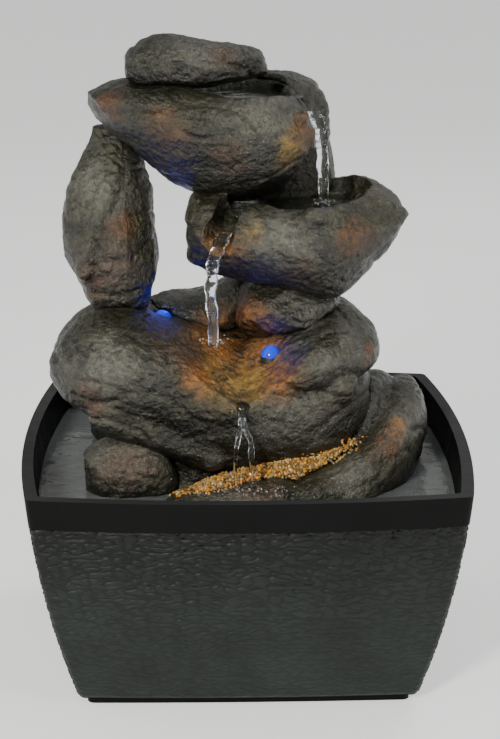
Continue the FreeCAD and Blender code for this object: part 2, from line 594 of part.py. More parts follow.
def intake_cover():
    """The push-on front: a ring of slots round the hub, open behind to take the sponge and the spigot."""
    inside = COVER_Y0 + COVER_T
    cover = box(PUMP_X0, PUMP_X1, COVER_Y0, CHAMBER_Y0 - 0.1, PUMP_LOW, PUMP_TOP)
    cover = rounded_along_y(cover, PUMP_EDGE_R)
    cover = cover.cut(box(*POCKET_X, inside, CHAMBER_Y0 + 1, *POCKET_Z))
    slots = rod(WINDOW_R, on_axis(COVER_Y0 - 1), on_axis(inside + 1))
    slots = slots.cut(rod(WINDOW_HUB_R, on_axis(COVER_Y0 - 2), on_axis(inside + 2)))
    for bar in (box(-12, 12, -2, COVER_T + 2, -1.6, 1.6), box(-1.6, 1.6, -2, COVER_T + 2, -12, 12)):
        bar.translate(on_axis(COVER_Y0))
        slots = slots.cut(bar)
    return cover.cut(slots).cut(rod(PEG_R + 0.07, on_axis(COVER_Y0 - 1), on_axis(inside + 1)))


def intake_sponge():
    y0, gap = COVER_Y0 + COVER_T + 0.4, 0.3
    (px0, px1), (pz0, pz1) = POCKET_X, POCKET_Z
    return box(px0 + gap, px1 - gap, y0, y0 + SPONGE_T, pz0 + gap, pz1 - gap)


def flow_dial():
    """A disc with two windows that slide over the cover's slots, with a thumb tab and a peg."""
    dial = rod(DIAL_R, on_axis(DIAL_Y1 - DIAL_T), on_axis(DIAL_Y1))
    for k in range(2):
        window = Part.makeCylinder(WINDOW_R, 4, V(0, 0, 0), Y_AXIS, DIAL_OPEN)
        window.rotate(V(0, 0, 0), Y_AXIS, 180 * k + 2)
        window.translate(on_axis(DIAL_Y1 - 3))
        dial = dial.cut(window.cut(rod(WINDOW_HUB_R, on_axis(DIAL_Y1 - 4), on_axis(DIAL_Y1 + 2))))
    tab = box(-1.5, 1.5, DIAL_Y1 - 5.0, DIAL_Y1, 9.0, 15.5)
    tab.translate(on_axis(0))
    return dial.fuse(tab).fuse(rod(PEG_R, on_axis(DIAL_Y1 - 0.5), on_axis(COVER_Y0 + COVER_T)))


def suction_cups():
    neck_low, skirt_t = 10.0, 2.2
    feet = []
    for at in CUPS:
        neck = Part.makeCylinder(CUP_NECK_R, PUMP_LOW - neck_low, at + V(0, 0, neck_low))
        feet.append(neck.fuse(Part.makeCone(CUP_R, CUP_NECK_R + 1, skirt_t, at + V(0, 0, FLOOR_Z), Z_AXIS)))
    return Part.makeCompound(feet)


def gland_at(y):
    return V(GLAND_X, y, GLAND_Z)


def lead_gland():
    inside, outside = PUMP_BODY_Y1 - GLAND_SINK, PUMP_BODY_Y1 + GLAND_TAIL
    gland = rod(GLAND_R, gland_at(inside), gland_at(PUMP_BODY_Y1))
    gland = gland.fuse(Part.makeCone(GLAND_R + 1, LEAD_R + 1, GLAND_TAIL, gland_at(PUMP_BODY_Y1), Y_AXIS))
    return gland.cut(rod(LEAD_R, gland_at(inside - 1), gland_at(outside + 1)))


def pump_parts():
    turning = shaft()
    PARTS.update({
        "pump_body": pump_body(),
        "pump_chamber": pump_chamber(),
        "pump_shaft": turning,
        "front_bush": rod(FRONT_BUSH_R, on_axis(BUSH_Y0), on_axis(EYE_Y)).cut(turning),
        "rear_bush": rod(REAR_BUSH_R, on_axis(WELL_END), on_axis(WELL_END + REAR_BUSH_L)).cut(turning),
        "rotor_magnet": rotor_magnet(),
        "impeller": impeller(),
        "intake_cover": intake_cover(),
        "intake_sponge": intake_sponge(),
        "flow_dial": flow_dial(),
        "suction_cups": suction_cups(),
        "pump_lead_gland": lead_gland(),
        "lamp_socket": rod(PIN_R, V(PLUG_X, PLUG_Y, PUMP_TOP - PIN_SINK), V(PLUG_X, PLUG_Y, PIN_TOP)),
    })


# ---------------------------------------------------------------- inlet and leads
def inlet_at(y):
    return V(INLET_X, y, INLET_Z)


def inlet_parts():
    """The low-voltage inlet: its barrel in the wall, the seal outside, the nut and the boot inside."""
    shell = PARTS["basin_shell"]
    wall_in = inner_y(INLET_X, INLET_Z)
    wall_out = wall_in + wall_at(INLET_Z) + 0.2
    seal_y = wall_out + 0.6
    flange_y0, flange_y1 = seal_y + 0.8, seal_y + 2.0
    jack = rod(FLANGE_R, inlet_at(flange_y0), inlet_at(flange_y1))
    jack = jack.fuse(rod(INLET_BARREL_R, inlet_at(wall_in - 8), inlet_at(flange_y1)))
    jack = jack.cut(rod(INLET_BORE_R, inlet_at(seal_y - 8), inlet_at(seal_y + 3)))
    jack = jack.fuse(rod(INLET_PIN_R, inlet_at(seal_y - 9), inlet_at(seal_y - 0.5)))
    seal = rod(SEAL_R, inlet_at(wall_out - 3), inlet_at(flange_y0))
    seal = seal.cut(rod(INLET_BARREL_R, inlet_at(wall_out - 4), inlet_at(flange_y1)))
    around_barrel = rod(INLET_BARREL_R + 0.3, inlet_at(wall_in - 9), inlet_at(wall_out - 0.4))
    seal = biggest(seal.cut(shell).cut(around_barrel))
    sixths = [math.pi / 3 * k for k in range(7)]
    nut_wire = Part.makePolygon([
        V(INLET_X + NUT_R * math.cos(a), wall_in - 4.2, INLET_Z + NUT_R * math.sin(a)) for a in sixths])
    nut = Part.Face(nut_wire).extrude(V(0, NUT_T, 0))
    nut = biggest(nut.cut(rod(INLET_BARREL_R, inlet_at(wall_in - 6), inlet_at(wall_in + 1))).cut(shell))
    exit_y = wall_in - 10.4
    boot = box(INLET_X - 6.5, INLET_X + 6.5, wall_in - 13, wall_in - 4.4, INLET_Z - 7, INLET_Z + 6.5)
    boot = boot.makeFillet(1.5, boot.Edges)
    boot = boot.cut(rod(INLET_BARREL_R, inlet_at(wall_in - 8), inlet_at(wall_in)))
    boot = boot.cut(rod(LEAD_R, V(INLET_X, exit_y, INLET_Z - 9), V(INLET_X, exit_y, INLET_Z - 4)))
    points = [
        gland_at(PUMP_BODY_Y1 - 4.5), gland_at(PUMP_BODY_Y1 + 19),
        V(INLET_X - 3, 66, 38), V(INLET_X, exit_y, 60), V(INLET_X, exit_y, INLET_Z - 4.2)]
    PARTS.update({"inlet_jack": jack, "inlet_seal": seal, "inlet_nut": nut, "inlet_boot": boot,
                  "pump_lead": lead(points, LEAD_R)})


def lamp_parts():
    for name, at in LAMPS.items():
        housing, board, lens = lamp(at)
        PARTS["lamp_housing_" + name] = housing
        PARTS["lamp_board_" + name] = board
        PARTS["lamp_lens_" + name] = lens
    for name, points in lamp_wires().items():
        PARTS["lamp_wire_" + name] = lead(points, WIRE_R)
    plug = rod(PLUG_R, V(PLUG_X, PLUG_Y, PLUG_LOW), V(PLUG_X, PLUG_Y, PLUG_TOP))
    plug = plug.cut(rod(PIN_R + 0.08, V(PLUG_X, PLUG_Y, PLUG_LOW - 1), V(PLUG_X, PLUG_Y, PIN_TOP + 1)))
    for side in (-WIRE_SIDE, WIRE_SIDE):
        hole_foot = V(PLUG_X, PLUG_Y + side, PLUG_TOP - WIRE_IN_PLUG)
        plug = plug.cut(rod(WIRE_R, hole_foot, hole_foot + V(0, 0, WIRE_IN_PLUG + 1)))
    PARTS["lamp_plug"] = plug


def main():
    PARTS["basin_shell"] = basin_shell()
    PARTS["foot_pads"] = pads()
    PARTS["deck"] = deck()
    stones()
    PARTS["riser_hose"] = riser_hose()
    pump_parts()
    inlet_parts()
    lamp_parts()
    os.makedirs("parts", exist_ok=True)
    for name, shape in PARTS.items():
        shape.exportStep(f"parts/{name}.step")
        state = "valid" if shape.isValid() else "INVALID"
        print(name, len(shape.Solids), "solids", round(shape.Volume), "mm3", state)


main()
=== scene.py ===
"""Looks of the tabletop water fountain: sculpted stones, a grooved basin, gravel, water and blue lamps.

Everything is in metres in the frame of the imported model: +Z up, the front faces -Y."""

import json
import math
import random

import bmesh
import bpy
from mathutils import Matrix, Vector, noise
from mathutils.bvhtree import BVHTree


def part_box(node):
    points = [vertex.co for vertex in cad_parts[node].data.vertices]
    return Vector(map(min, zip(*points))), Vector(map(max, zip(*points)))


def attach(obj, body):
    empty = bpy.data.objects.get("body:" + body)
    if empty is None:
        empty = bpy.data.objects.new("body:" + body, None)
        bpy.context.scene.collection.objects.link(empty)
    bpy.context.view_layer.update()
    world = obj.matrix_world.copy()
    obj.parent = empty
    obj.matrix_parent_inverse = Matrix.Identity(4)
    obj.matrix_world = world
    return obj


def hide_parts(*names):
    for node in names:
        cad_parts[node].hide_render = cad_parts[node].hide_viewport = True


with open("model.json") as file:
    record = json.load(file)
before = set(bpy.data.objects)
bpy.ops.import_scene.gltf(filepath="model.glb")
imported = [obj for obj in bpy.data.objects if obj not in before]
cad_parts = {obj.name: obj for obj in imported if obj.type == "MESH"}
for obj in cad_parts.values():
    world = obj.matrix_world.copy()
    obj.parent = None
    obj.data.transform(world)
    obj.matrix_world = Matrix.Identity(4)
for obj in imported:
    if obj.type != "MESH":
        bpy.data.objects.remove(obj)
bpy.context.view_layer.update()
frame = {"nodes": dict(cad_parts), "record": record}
nodes = frame["nodes"]
MM = 0.001

SHELL_LOW, SHELL_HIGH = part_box("basin_shell")
RIM_Z = SHELL_HIGH[2]
WATER_Z = RIM_Z - 15.0 * MM
# The grooved panels cover the wall from the foot to the smooth band, and stand out by up to PANEL_DEPTH.
PANEL_LOW = SHELL_LOW[2] + 4.4 * MM
PANEL_HIGH = RIM_Z - 13.7 * MM
PANEL_DEPTH = 0.9 * MM


def spot(node_name, x, y, z):
    """A point in a node's box, by shares of its width, depth and height."""
    low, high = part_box(node_name)
    return Vector([low[i] + (high[i] - low[i]) * share for i, share in enumerate((x, y, z))])


def heading(k, count):
    """The kth of a number of level directions, evenly spread."""
    angle = 2 * math.pi * k / count
    return Vector((math.cos(angle), math.sin(angle), 0))


def add_object(name, data):
    made = bpy.data.objects.new(name, data)
    bpy.context.scene.collection.objects.link(made)
    return made


# ---------------------------------------------------------------- camera, floor, light
CAMERA_AT = Vector((-18.4, -855.5, 377.8)) * MM
CAMERA_FORWARD = Vector((0.02329, 0.96169, -0.27315))
LENS, SENSOR = 92.95, 36.0
LIGHTS_AIM = Vector((0, 0, 0.15))
# Each studio light: name, place, width, watts, colour.
STUDIO_LIGHTS = [
    ("key", (-0.5, -1.1, 0.62), 0.22, 16.0, (1.0, 0.98, 0.93)),
    ("fill", (0.95, -0.7, 0.35), 0.4, 6.0, (1.0, 0.99, 0.96)),
    ("back", (0.6, 0.7, 1.1), 0.7, 5.0, (1.0, 1.0, 1.0)),
    ("back_left", (-1.2, 0.35, 0.5), 0.6, 2.2, (1.0, 1.0, 1.0))]
FLOOR_RADIUS, FLOOR_SIDES = 18.0, 64


def set_camera():
    data = bpy.data.cameras.new("camera")
    data.lens, data.sensor_width = LENS, SENSOR
    data.clip_start, data.clip_end = 0.01, 20.0
    camera = add_object("camera", data)
    camera.location = CAMERA_AT
    camera.rotation_euler = CAMERA_FORWARD.to_track_quat("-Z", "Y").to_euler()
    bpy.context.scene.camera = camera


def area_light(name, place, size, power, colour):
    data = bpy.data.lights.new(name, "AREA")
    data.shape, data.size, data.energy, data.color = "DISK", size, power, colour
    light = add_object(name, data)
    light.location = place
    light.rotation_euler = (LIGHTS_AIM - Vector(place)).to_track_quat("-Z", "Y").to_euler()


def set_studio():
    """Lights, a pale sky, and a floor that glows a little, so that it stays light far from the lights."""
    for light in STUDIO_LIGHTS:
        area_light(*light)
    world = bpy.data.worlds.new("studio")
    world.use_nodes = True
    world.node_tree.nodes["Background"].inputs["Color"].default_value = (0.94, 0.94, 0.91, 1)
    world.node_tree.nodes["Background"].inputs["Strength"].default_value = 0.42
    bpy.context.scene.world = world
    mesh = bpy.data.meshes.new("floor")
    edge = [heading(k, FLOOR_SIDES) * FLOOR_RADIUS for k in range(FLOOR_SIDES)]
    mesh.from_pydata(edge, [], [tuple(range(FLOOR_SIDES))])
    floor = add_object("floor", mesh)
    material, shader = new_material("floor_paper")
    shader.inputs["Base Color"].default_value = (0.86, 0.86, 0.86, 1)
    shader.inputs["Roughness"].default_value = 0.8
    shader.inputs["Emission Color"].default_value = (1, 1, 1, 1)
    shader.inputs["Emission Strength"].default_value = 0.55
    mesh.materials.append(material)


# ---------------------------------------------------------------- shader helpers
def new_material(name):
    material = bpy.data.materials.new(name)
    material.use_nodes = True
    return material, material.node_tree.nodes["Principled BSDF"]


class Graph:
    """Short names for the nodes that the materials here are made of."""

    def __init__(self, name):
        self.material, self.shader = new_material(name)
        self.tree = self.material.node_tree
        self.place = self.node("ShaderNodeTexCoord").outputs["Object"]

    def node(self, kind, **values):
        made = self.tree.nodes.new(kind)
        for key, value in values.items():
            setattr(made, key, value)
        return made

    def join(self, source, target):
        self.tree.links.new(source, target)

    def stretched(self, scale, offset=(0, 0, 0)):
        mapping = self.node("ShaderNodeMapping")
        self.join(self.place, mapping.inputs["Vector"])
        mapping.inputs["Scale"].default_value = scale
        mapping.inputs["Location"].default_value = offset
        return mapping.outputs["Vector"]

    def noise(self, scale, detail=4.0, rough=0.55, vector=None, distortion=0.0):
        made = self.node("ShaderNodeTexNoise")
        self.join(vector or self.place, made.inputs["Vector"])
        made.inputs["Scale"].default_value = scale
        made.inputs["Detail"].default_value = detail
        made.inputs["Roughness"].default_value = rough
        made.inputs["Distortion"].default_value = distortion
        return made.outputs["Fac"]

    def cells(self, scale, feature="F1"):
        made = self.node("ShaderNodeTexVoronoi", feature=feature)
        self.join(self.place, made.inputs["Vector"])
        made.inputs["Scale"].default_value = scale
        return made.outputs["Distance"]

    def ramp(self, source, stops):
        """A colour ramp. A stop's colour is a triple, or one number for a grey."""
        made = self.node("ShaderNodeValToRGB")
        self.join(source, made.inputs["Fac"])
        elements = made.color_ramp.elements
        while len(elements) < len(stops):
            elements.new(0.5)
        for element, (place, colour) in zip(elements, stops):
            element.position = place
            element.color = (colour, colour, colour, 1) if isinstance(colour, float) else (*colour, 1)
        return made.outputs["Color"]

    def mix(self, amount, first, second, blend="MIX"):
        made = self.node("ShaderNodeMix", data_type="RGBA", blend_type=blend)
        self.feed((made.inputs[0], made.inputs[6], made.inputs[7]), (amount, first, second))
        return made.outputs[2]

    def maths(self, what, first, second=0.0):
        made = self.node("ShaderNodeMath", operation=what)
        self.feed(made.inputs, (first, second))
        return made.outputs[0]

    def feed(self, sockets, values):
        """Joins each value that is a socket, and sets each one that is a number or a colour."""
        for socket, value in zip(sockets, values):
            if isinstance(value, bpy.types.NodeSocket):
                self.join(value, socket)
            else:
                socket.default_value = value

    def bump(self, height, distance, strength=1.0):
        made = self.node("ShaderNodeBump")
        self.join(height, made.inputs["Height"])
        made.inputs["Distance"].default_value = distance
        made.inputs["Strength"].default_value = strength
        return made.outputs["Normal"]

    def axis(self, name):
        split = self.node("ShaderNodeSeparateXYZ")
        self.join(self.place, split.inputs[0])
        return split.outputs[name]

    def upward(self):
        """How far the surface faces up, from -1 to 1."""
        geometry = self.node("ShaderNodeNewGeometry")
        split = self.node("ShaderNodeSeparateXYZ")
        self.join(geometry.outputs["Normal"], split.inputs[0])
        return split.outputs["Z"]


# ---------------------------------------------------------------- materials
RUST, AMBER, GOLD = (0.125, 0.050, 0.013), (0.32, 0.125, 0.022), (0.38, 0.235, 0.050)
# The pale colour is painted light: its patches lighten stones that the lamps leave too dark, and give the
# upper bowl's front bulge a painted highlight.
PINK, PALE_PAINTED_LIGHT = (0.120, 0.078, 0.052), (0.125, 0.121, 0.094)
# Where the stone's colour changes: the node, a place in its box, a radius in millimetres, the colour. Rust,
# amber, gold and pink are real stains; the pale colour is painted light.
PATCHES = [
    ("right_shelf_stone", (0.06, 0.21, 0.5), 19, AMBER),
    ("left_shelf_stone", (0.92, 0.09, 0.53), 15, GOLD),
    ("right_lip_stone", (0.47, 0.05, 0.31), 24, PALE_PAINTED_LIGHT),
    ("right_lip_stone", (0.82, 0.3, 0.81), 20, PALE_PAINTED_LIGHT),
    ("left_pebble", (0.43, 0.3, 0.86), 20, PALE_PAINTED_LIGHT),
    ("right_shelf_stone", (0.59, 0.08, 0.7), 22, PALE_PAINTED_LIGHT),
    ("apron_stone", (0.44, 0.29, 0.63), 22, PALE_PAINTED_LIGHT),
    ("base_stone", (0.71, 0.05, 0.61), 24, PALE_PAINTED_LIGHT),
    ("upper_bowl_stone", (0.35, 0.05, 0.63), 12, RUST),
    ("upper_bowl_stone", (0.78, 0.01, 0.82), 20, PALE_PAINTED_LIGHT),
    ("upper_bowl_stone", (0.91, 0.1, 0.46), 11, GOLD),
    ("upper_bowl_stone", (0.95, 0.15, 0.63), 9, RUST),
    ("upper_bowl_stone", (0.12, 0.23, 0.82), 9, RUST),
    ("upper_bowl_stone", (0.62, 0.02, 0.4), 10, RUST),
    ("pillar_stone", (0.49, 0.03, 0.29), 15, PINK),
    ("pillar_stone", (0.66, 0.03, 0.48), 8, RUST),
    ("pillar_stone", (0.4, 0.1, 0.66), 15, PALE_PAINTED_LIGHT),
    ("pillar_stone", (0.26, 0.12, 0.15), 10, RUST),
    ("middle_bowl_stone", (0.16, 0.02, 0.59), 12, AMBER),
    ("middle_bowl_stone", (0.29, -0.01, 0.72), 6, GOLD),
    ("middle_bowl_stone", (0.46, -0.01, 0.59), 22, PALE_PAINTED_LIGHT),
    ("middle_bowl_stone", (0.74, 0.1, 0.59), 12, RUST),
    ("middle_bowl_stone", (0.5, 0.02, 0.31), 10, RUST),
    ("right_shelf_stone", (0.03, 0.13, 0.3), 17, GOLD),
    ("left_shelf_stone", (0.94, 0.32, 0.81), 20, AMBER),
    ("right_shelf_stone", (0.26, 0.02, 0.33), 13, AMBER),
    ("left_shelf_stone", (0.81, 0.05, 0.62), 12, AMBER),
    ("right_shelf_stone", (0.95, 0.21, 0.43), 8, RUST),
    ("left_shelf_stone", (0.68, 0.17, 0.84), 16, PINK),
    ("left_shelf_stone", (0.31, 0.05, 0.62), 24, PALE_PAINTED_LIGHT),
    ("left_shelf_stone", (0.22, 0.11, 0.36), 10, RUST),
    ("right_lip_stone", (0.65, 0.13, 0.72), 11, RUST),
    ("right_lip_stone", (0.76, 0.23, 0.9), 9, AMBER),
    ("left_pebble", (0.48, 0.07, 0.68), 13, PINK),
    ("apron_stone", (0.71, 0.13, 0.81), 12, PINK),
    ("cap_stone", (0.49, 0.02, 0.82), 18, PALE_PAINTED_LIGHT),
    ("cap_stone", (0.71, 0.14, 0.73), 8, RUST),
    ("riser_stone", (0.62, 0.96, 0.53), 18, RUST),
    ("left_shelf_stone", (0.68, 0.97, 0.66), 26, PINK),
    ("pillar_stone", (0.53, 0.86, 0.57), 15, RUST),
    ("rear_right_stone", (0.6, 0.88, 0.52), 20, PALE_PAINTED_LIGHT),
    ("rear_left_stone", (0.43, 0.91, 0.6), 18, RUST),
    ("right_lip_stone", (0.88, 0.79, 0.68), 14, RUST),
    ("middle_bowl_stone", (0.56, 0.97, 0.62), 24, PALE_PAINTED_LIGHT),]


def add_patches(g, base):
    """Soft stains and pale patches of painted light, broken up by the grain of the stone. They fade out a
    little past their radius.
    """
    clouds = g.ramp(g.noise(48.0, 6.0, 0.66, distortion=0.6), [(0.36, 0.0), (0.60, 1.0)])
    flecks = g.ramp(g.noise(240.0, 5.0, 0.7), [(0.36, 0.30), (0.60, 1.0)])
    breakup = g.maths("MULTIPLY", clouds, flecks)
    for node_name, shares, radius, stain_and_painted_light in PATCHES:
        away = g.node("ShaderNodeVectorMath", operation="DISTANCE")
        g.join(g.place, away.inputs[0])
        away.inputs[1].default_value = spot(node_name, *shares)
        near = g.node("ShaderNodeMapRange", interpolation_type="SMOOTHSTEP")
        g.join(away.outputs["Value"], near.inputs["Value"])
        near.inputs["From Min"].default_value = radius * MM * 1.35
        near.inputs["From Max"].default_value = 0.0
        amount = g.maths("MULTIPLY", near.outputs["Result"], breakup)
        # Each patch mixes in its colour: a real stain, except for the pale patches, which are painted light.
        base = g.mix(g.maths("MINIMUM", g.maths("MULTIPLY", amount, 1.9), 0.85), base, (*stain_and_painted_light, 1))
    return base


def stone_material(name, dark, mid, light, rust_amount, wet, patched=True):
    """Mottled stone with rust streaks, pale flecks and dark pits, with painted shade underneath and on the
    stones high up.
    """
    g = Graph(name)
    broad = g.noise(30.0, 6.0, 0.62, distortion=0.5)
    fine = g.noise(190.0, 5.0, 0.65)
    base = g.mix(g.ramp(broad, [(0.36, 0.0), (0.64, 1.0)]), (*dark, 1), (*mid, 1))
    base = g.mix(g.maths("MULTIPLY", g.ramp(fine, [(0.50, 0.0), (0.72, 1.0)]), 0.5), base, (*light, 1))
    streaks = g.noise(17.0, 6.0, 0.62, vector=g.stretched((1, 1, 1.9), (0.3, 0.1, 0.7)), distortion=0.9)
    rust_mask = g.ramp(streaks, [(0.60 - rust_amount, 0.0), (0.76 - rust_amount, 1.0)])
    rust_mask = g.maths("MULTIPLY", rust_mask, g.ramp(g.noise(120.0, 4.0), [(0.32, 0.25), (0.6, 1.0)]))
    base = g.mix(g.maths("MULTIPLY", rust_mask, 0.55), base, (*RUST, 1))
    if patched:
        base = add_patches(g, base)
    dents = g.cells(420.0, feature="SMOOTH_F1")
    pits = g.noise(360.0, 4.0, 0.62)
    grit = g.noise(820.0, 3.0, 0.6)
    height = g.maths("ADD", g.maths("MULTIPLY", dents, 0.5), g.maths("MULTIPLY", pits, 0.8))
    height = g.maths("ADD", height, g.maths("MULTIPLY", grit, 0.45))
    base = g.mix(0.85, base, g.ramp(pits, [(0.34, 0.42), (0.58, 1.0)]), "MULTIPLY")
    base = g.mix(0.6, base, g.ramp(grit, [(0.36, 0.5), (0.60, 1.0)]), "MULTIPLY")
    # Painted shade: the stone's colour is darkened on faces that turn downwards, where shade falls under the
    # bowls and shelves.
    painted_underside_shade = g.ramp(g.maths("ADD", g.maths("MULTIPLY", g.upward(), 0.5), 0.5), [(0.22, 0.16), (0.62, 1.0)])
    base = g.mix(1.0, base, painted_underside_shade, "MULTIPLY")
    # Painted shade: the colour grows darker from the middle bowl's top up to the upper bowl's top, so that
    # the high stones, nearest the lights, look less lit.
    painted_shade_high_up = [(spot("middle_bowl_stone", 0, 0, 1).z, 1.0), (spot("upper_bowl_stone", 0, 0, 1).z, 0.80)]
    base = g.mix(1.0, base, g.ramp(g.axis("Z"), painted_shade_high_up), "MULTIPLY")
    g.join(base, g.shader.inputs["Base Color"])
    rough = g.ramp(g.noise(75.0, 4.0), [(0.3, max(0.1, 0.30 - wet)), (0.7, max(0.15, 0.52 - wet))])
    g.join(rough, g.shader.inputs["Roughness"])
    g.shader.inputs["Specular IOR Level"].default_value = 0.44
    g.join(g.bump(height, 0.0018, 1.0), g.shader.inputs["Normal"])
    return g.material


def basin_graph(name, light, specular):
    """The start of both basin materials, near-black plastic with a green cast: the graph and the colour."""
    g = Graph(name)
    g.shader.inputs["Specular IOR Level"].default_value = specular
    g.join(g.ramp(g.noise(80.0, 4.0), [(0.3, 0.42), (0.7, 0.58)]), g.shader.inputs["Roughness"])
    tone = g.noise(34.0, 5.0, 0.6)
    return g, g.ramp(tone, [(0.3, (0.0048 * light, 0.0063 * light, 0.0053 * light)),
                            (0.7, (0.0088 * light, 0.0115 * light, 0.0097 * light))])


def panel_material():
    """Grooved slate, with painted shade down in each groove, and darker towards the top."""
    g, base = basin_graph("basin_panel", 1.70, 0.20)
    relief = g.node("ShaderNodeAttribute", attribute_name="relief")
    # Painted shade: the colour is darkened where the relief is low, down in each groove.
    painted_groove_shade = g.ramp(relief.outputs["Fac"], [(0.15, 0.50), (0.75, 1.0)])
    shade = g.ramp(g.axis("Z"), [(RIM_Z - 55.0 * MM, 1.0), (RIM_Z - 13.0 * MM, 0.40)])
    base = g.mix(1.0, g.mix(1.0, base, painted_groove_shade, "MULTIPLY"), shade, "MULTIPLY")
    g.join(base, g.shader.inputs["Base Color"])
    grain = g.noise(420.0, 4.0, 0.6, vector=g.stretched((0.25, 0.25, 1.0)))
    g.join(g.bump(grain, 0.0006, 0.8), g.shader.inputs["Normal"])
    return g.material


def basin_material():
    """Smooth plastic, with a painted highlight on the rim's top edge."""
    g, base = basin_graph("basin_plastic", 0.17, 0.10)
    rim_highlight_band = g.ramp(g.axis("Z"), [(RIM_Z - 5.0 * MM, 0.0), (RIM_Z - 0.5 * MM, 1.0)])
    # Painted highlight: faces that turn up near the rim get a paler colour, as if catching the light from
    # above.
    top = g.maths("MULTIPLY", g.ramp(g.upward(), [(0.6, 0.0), (0.9, 1.0)]), rim_highlight_band)
    g.join(g.mix(top, base, (0.030, 0.033, 0.032, 1)), g.shader.inputs["Base Color"])
    g.join(g.bump(g.noise(900.0, 3.0, 0.6), 0.0002, 0.4), g.shader.inputs["Normal"])
    return g.material


def plastic_material(name, colour, roughness, grain_size=700.0):
    g = Graph(name)
    tone = g.noise(45.0, 4.0)
    darker = tuple(c * 0.8 for c in colour)
    g.join(g.ramp(tone, [(0.3, darker), (0.7, colour)]), g.shader.inputs["Base Color"])
    g.join(g.ramp(g.noise(120.0, 3.0), [(0.3, roughness * 0.85), (0.7, roughness * 1.1)]),
           g.shader.inputs["Roughness"])
    g.join(g.bump(g.noise(grain_size, 3.0), 0.0002, 0.3), g.shader.inputs["Normal"])
    return g.material


def metal_material(name, colour, roughness):
    g = Graph(name)
    brushed = g.noise(300.0, 3.0, vector=g.stretched((1, 8, 1)))
    darker = tuple(c * 0.85 for c in colour)
    g.join(g.ramp(brushed, [(0.3, darker), (0.7, colour)]), g.shader.inputs["Base Color"])
    g.shader.inputs["Metallic"].default_value = 1.0
    g.shader.inputs["Roughness"].default_value = roughness
    return g.material


def sponge_material():
    g = Graph("open_foam")
    holes = g.cells(620.0)
    tone = g.ramp(holes, [(0.1, (0.01, 0.01, 0.012)), (0.6, (0.06, 0.06, 0.07))])
    g.join(tone, g.shader.inputs["Base Color"])
    g.shader.inputs["Roughness"].default_value = 0.95
    g.join(g.bump(holes, 0.0012, 1.0), g.shader.inputs["Normal"])
    return g.material


def water_material(name, tint, roughness, ripple, clear=1.0):
    g = Graph(name)
    g.shader.inputs["Base Color"].default_value = (*tint, 1)
    g.shader.inputs["Transmission Weight"].default_value = clear
    g.shader.inputs["IOR"].default_value = 1.333
    g.shader.inputs["Roughness"].default_value = roughness
    g.join(g.bump(g.noise(ripple, 3.0, 0.5, distortion=0.5), 0.0012, 0.5), g.shader.inputs["Normal"])
    return g.material


def lens_material():
    g = Graph("blue_lens")
    glow = g.ramp(g.noise(260.0, 2.0), [(0.3, (0.005, 0.02, 0.55)), (0.7, (0.02, 0.08, 0.8))])
    g.join(glow, g.shader.inputs["Base Color"])
    g.join(glow, g.shader.inputs["Emission Color"])
    g.shader.inputs["Emission Strength"].default_value = 0.15
    g.shader.inputs["Roughness"].default_value = 0.12
    return g.material


def gravel_material():
    g = Graph("gold_gravel")
    tint = g.node("ShaderNodeAttribute", attribute_name="tint")
    g.join(tint.outputs["Color"], g.shader.inputs["Base Color"])
    g.shader.inputs["Roughness"].default_value = 0.32
    g.join(g.bump(g.noise(1400.0, 2.0), 0.0003, 0.5), g.shader.inputs["Normal"])
    return g.material


# ---------------------------------------------------------------- stones
def tree_of(mesh):
    """A search tree of a mesh's faces, for rays and nearest points."""
    return BVHTree.FromPolygons([v.co.copy() for v in mesh.vertices], [f.vertices[:] for f in mesh.polygons])


def link_mesh(name, mesh, body, material):
    piece = add_object(name, mesh)
    mesh.materials.append(material)
    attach(piece, body)
    return piece


def smooth_mesh(name, verts, faces):
    mesh = bpy.data.meshes.new(name)
    mesh.from_pydata(verts, [], faces)
    mesh.polygons.foreach_set("use_smooth", [True] * len(mesh.polygons))
    return mesh


def copy_of(node_names, name, voxel, smooth_rounds, swell=0.0, ridges=()):
    """A dense copy of CAD nodes, joined where there are several, with its edges softened."""
    joined = bmesh.new()
    for n in node_names:
        data = nodes[n].data.copy()
        if swell:
            for vertex, normal in zip(data.vertices, [v.normal.copy() for v in data.vertices]):
                vertex.co += normal * swell
        joined.from_mesh(data)
        bpy.data.meshes.remove(data)
    for node_name, start, end, r_start, r_end in ridges:
        add_ridge(joined, spot(node_name, *start), spot(node_name, *end), r_start * MM, r_end * MM)
    raw = bpy.data.meshes.new(name + "_raw")
    joined.to_mesh(raw)
    joined.free()
    temp = add_object(name + "_raw", raw)
    remesh = temp.modifiers.new("remesh", "REMESH")
    remesh.mode, remesh.voxel_size = "VOXEL", voxel
    soften = temp.modifiers.new("soften", "SMOOTH")
    soften.factor, soften.iterations = 0.5, smooth_rounds
    bpy.context.view_layer.update()
    evaluated = temp.evaluated_get(bpy.context.evaluated_depsgraph_get())
    mesh = bpy.data.meshes.new_from_object(evaluated)
    mesh.name = name
    bpy.data.objects.remove(temp)
    mesh.materials.clear()
    mesh.polygons.foreach_set("use_smooth", [True] * len(mesh.polygons))
    return mesh


def chisel(mesh, seed, depth, planes=16):
    """Knocks soft flats off a rounded stone."""
    rng = random.Random(seed)
    centre = sum((v.co for v in mesh.vertices), Vector()) / len(mesh.vertices)
    for _ in range(planes):
        facing = Vector((rng.gauss(0, 1), rng.gauss(0, 1), rng.gauss(0, 1))).normalized()
        top = max((v.co - centre).dot(facing) for v in mesh.vertices)
        flat = top - depth * rng.uniform(0.5, 1.0)
        for v in mesh.vertices:
            over = (v.co - centre).dot(facing) - flat
            if over > 0:
                v.co -= facing * over * 0.8
    mesh.update()


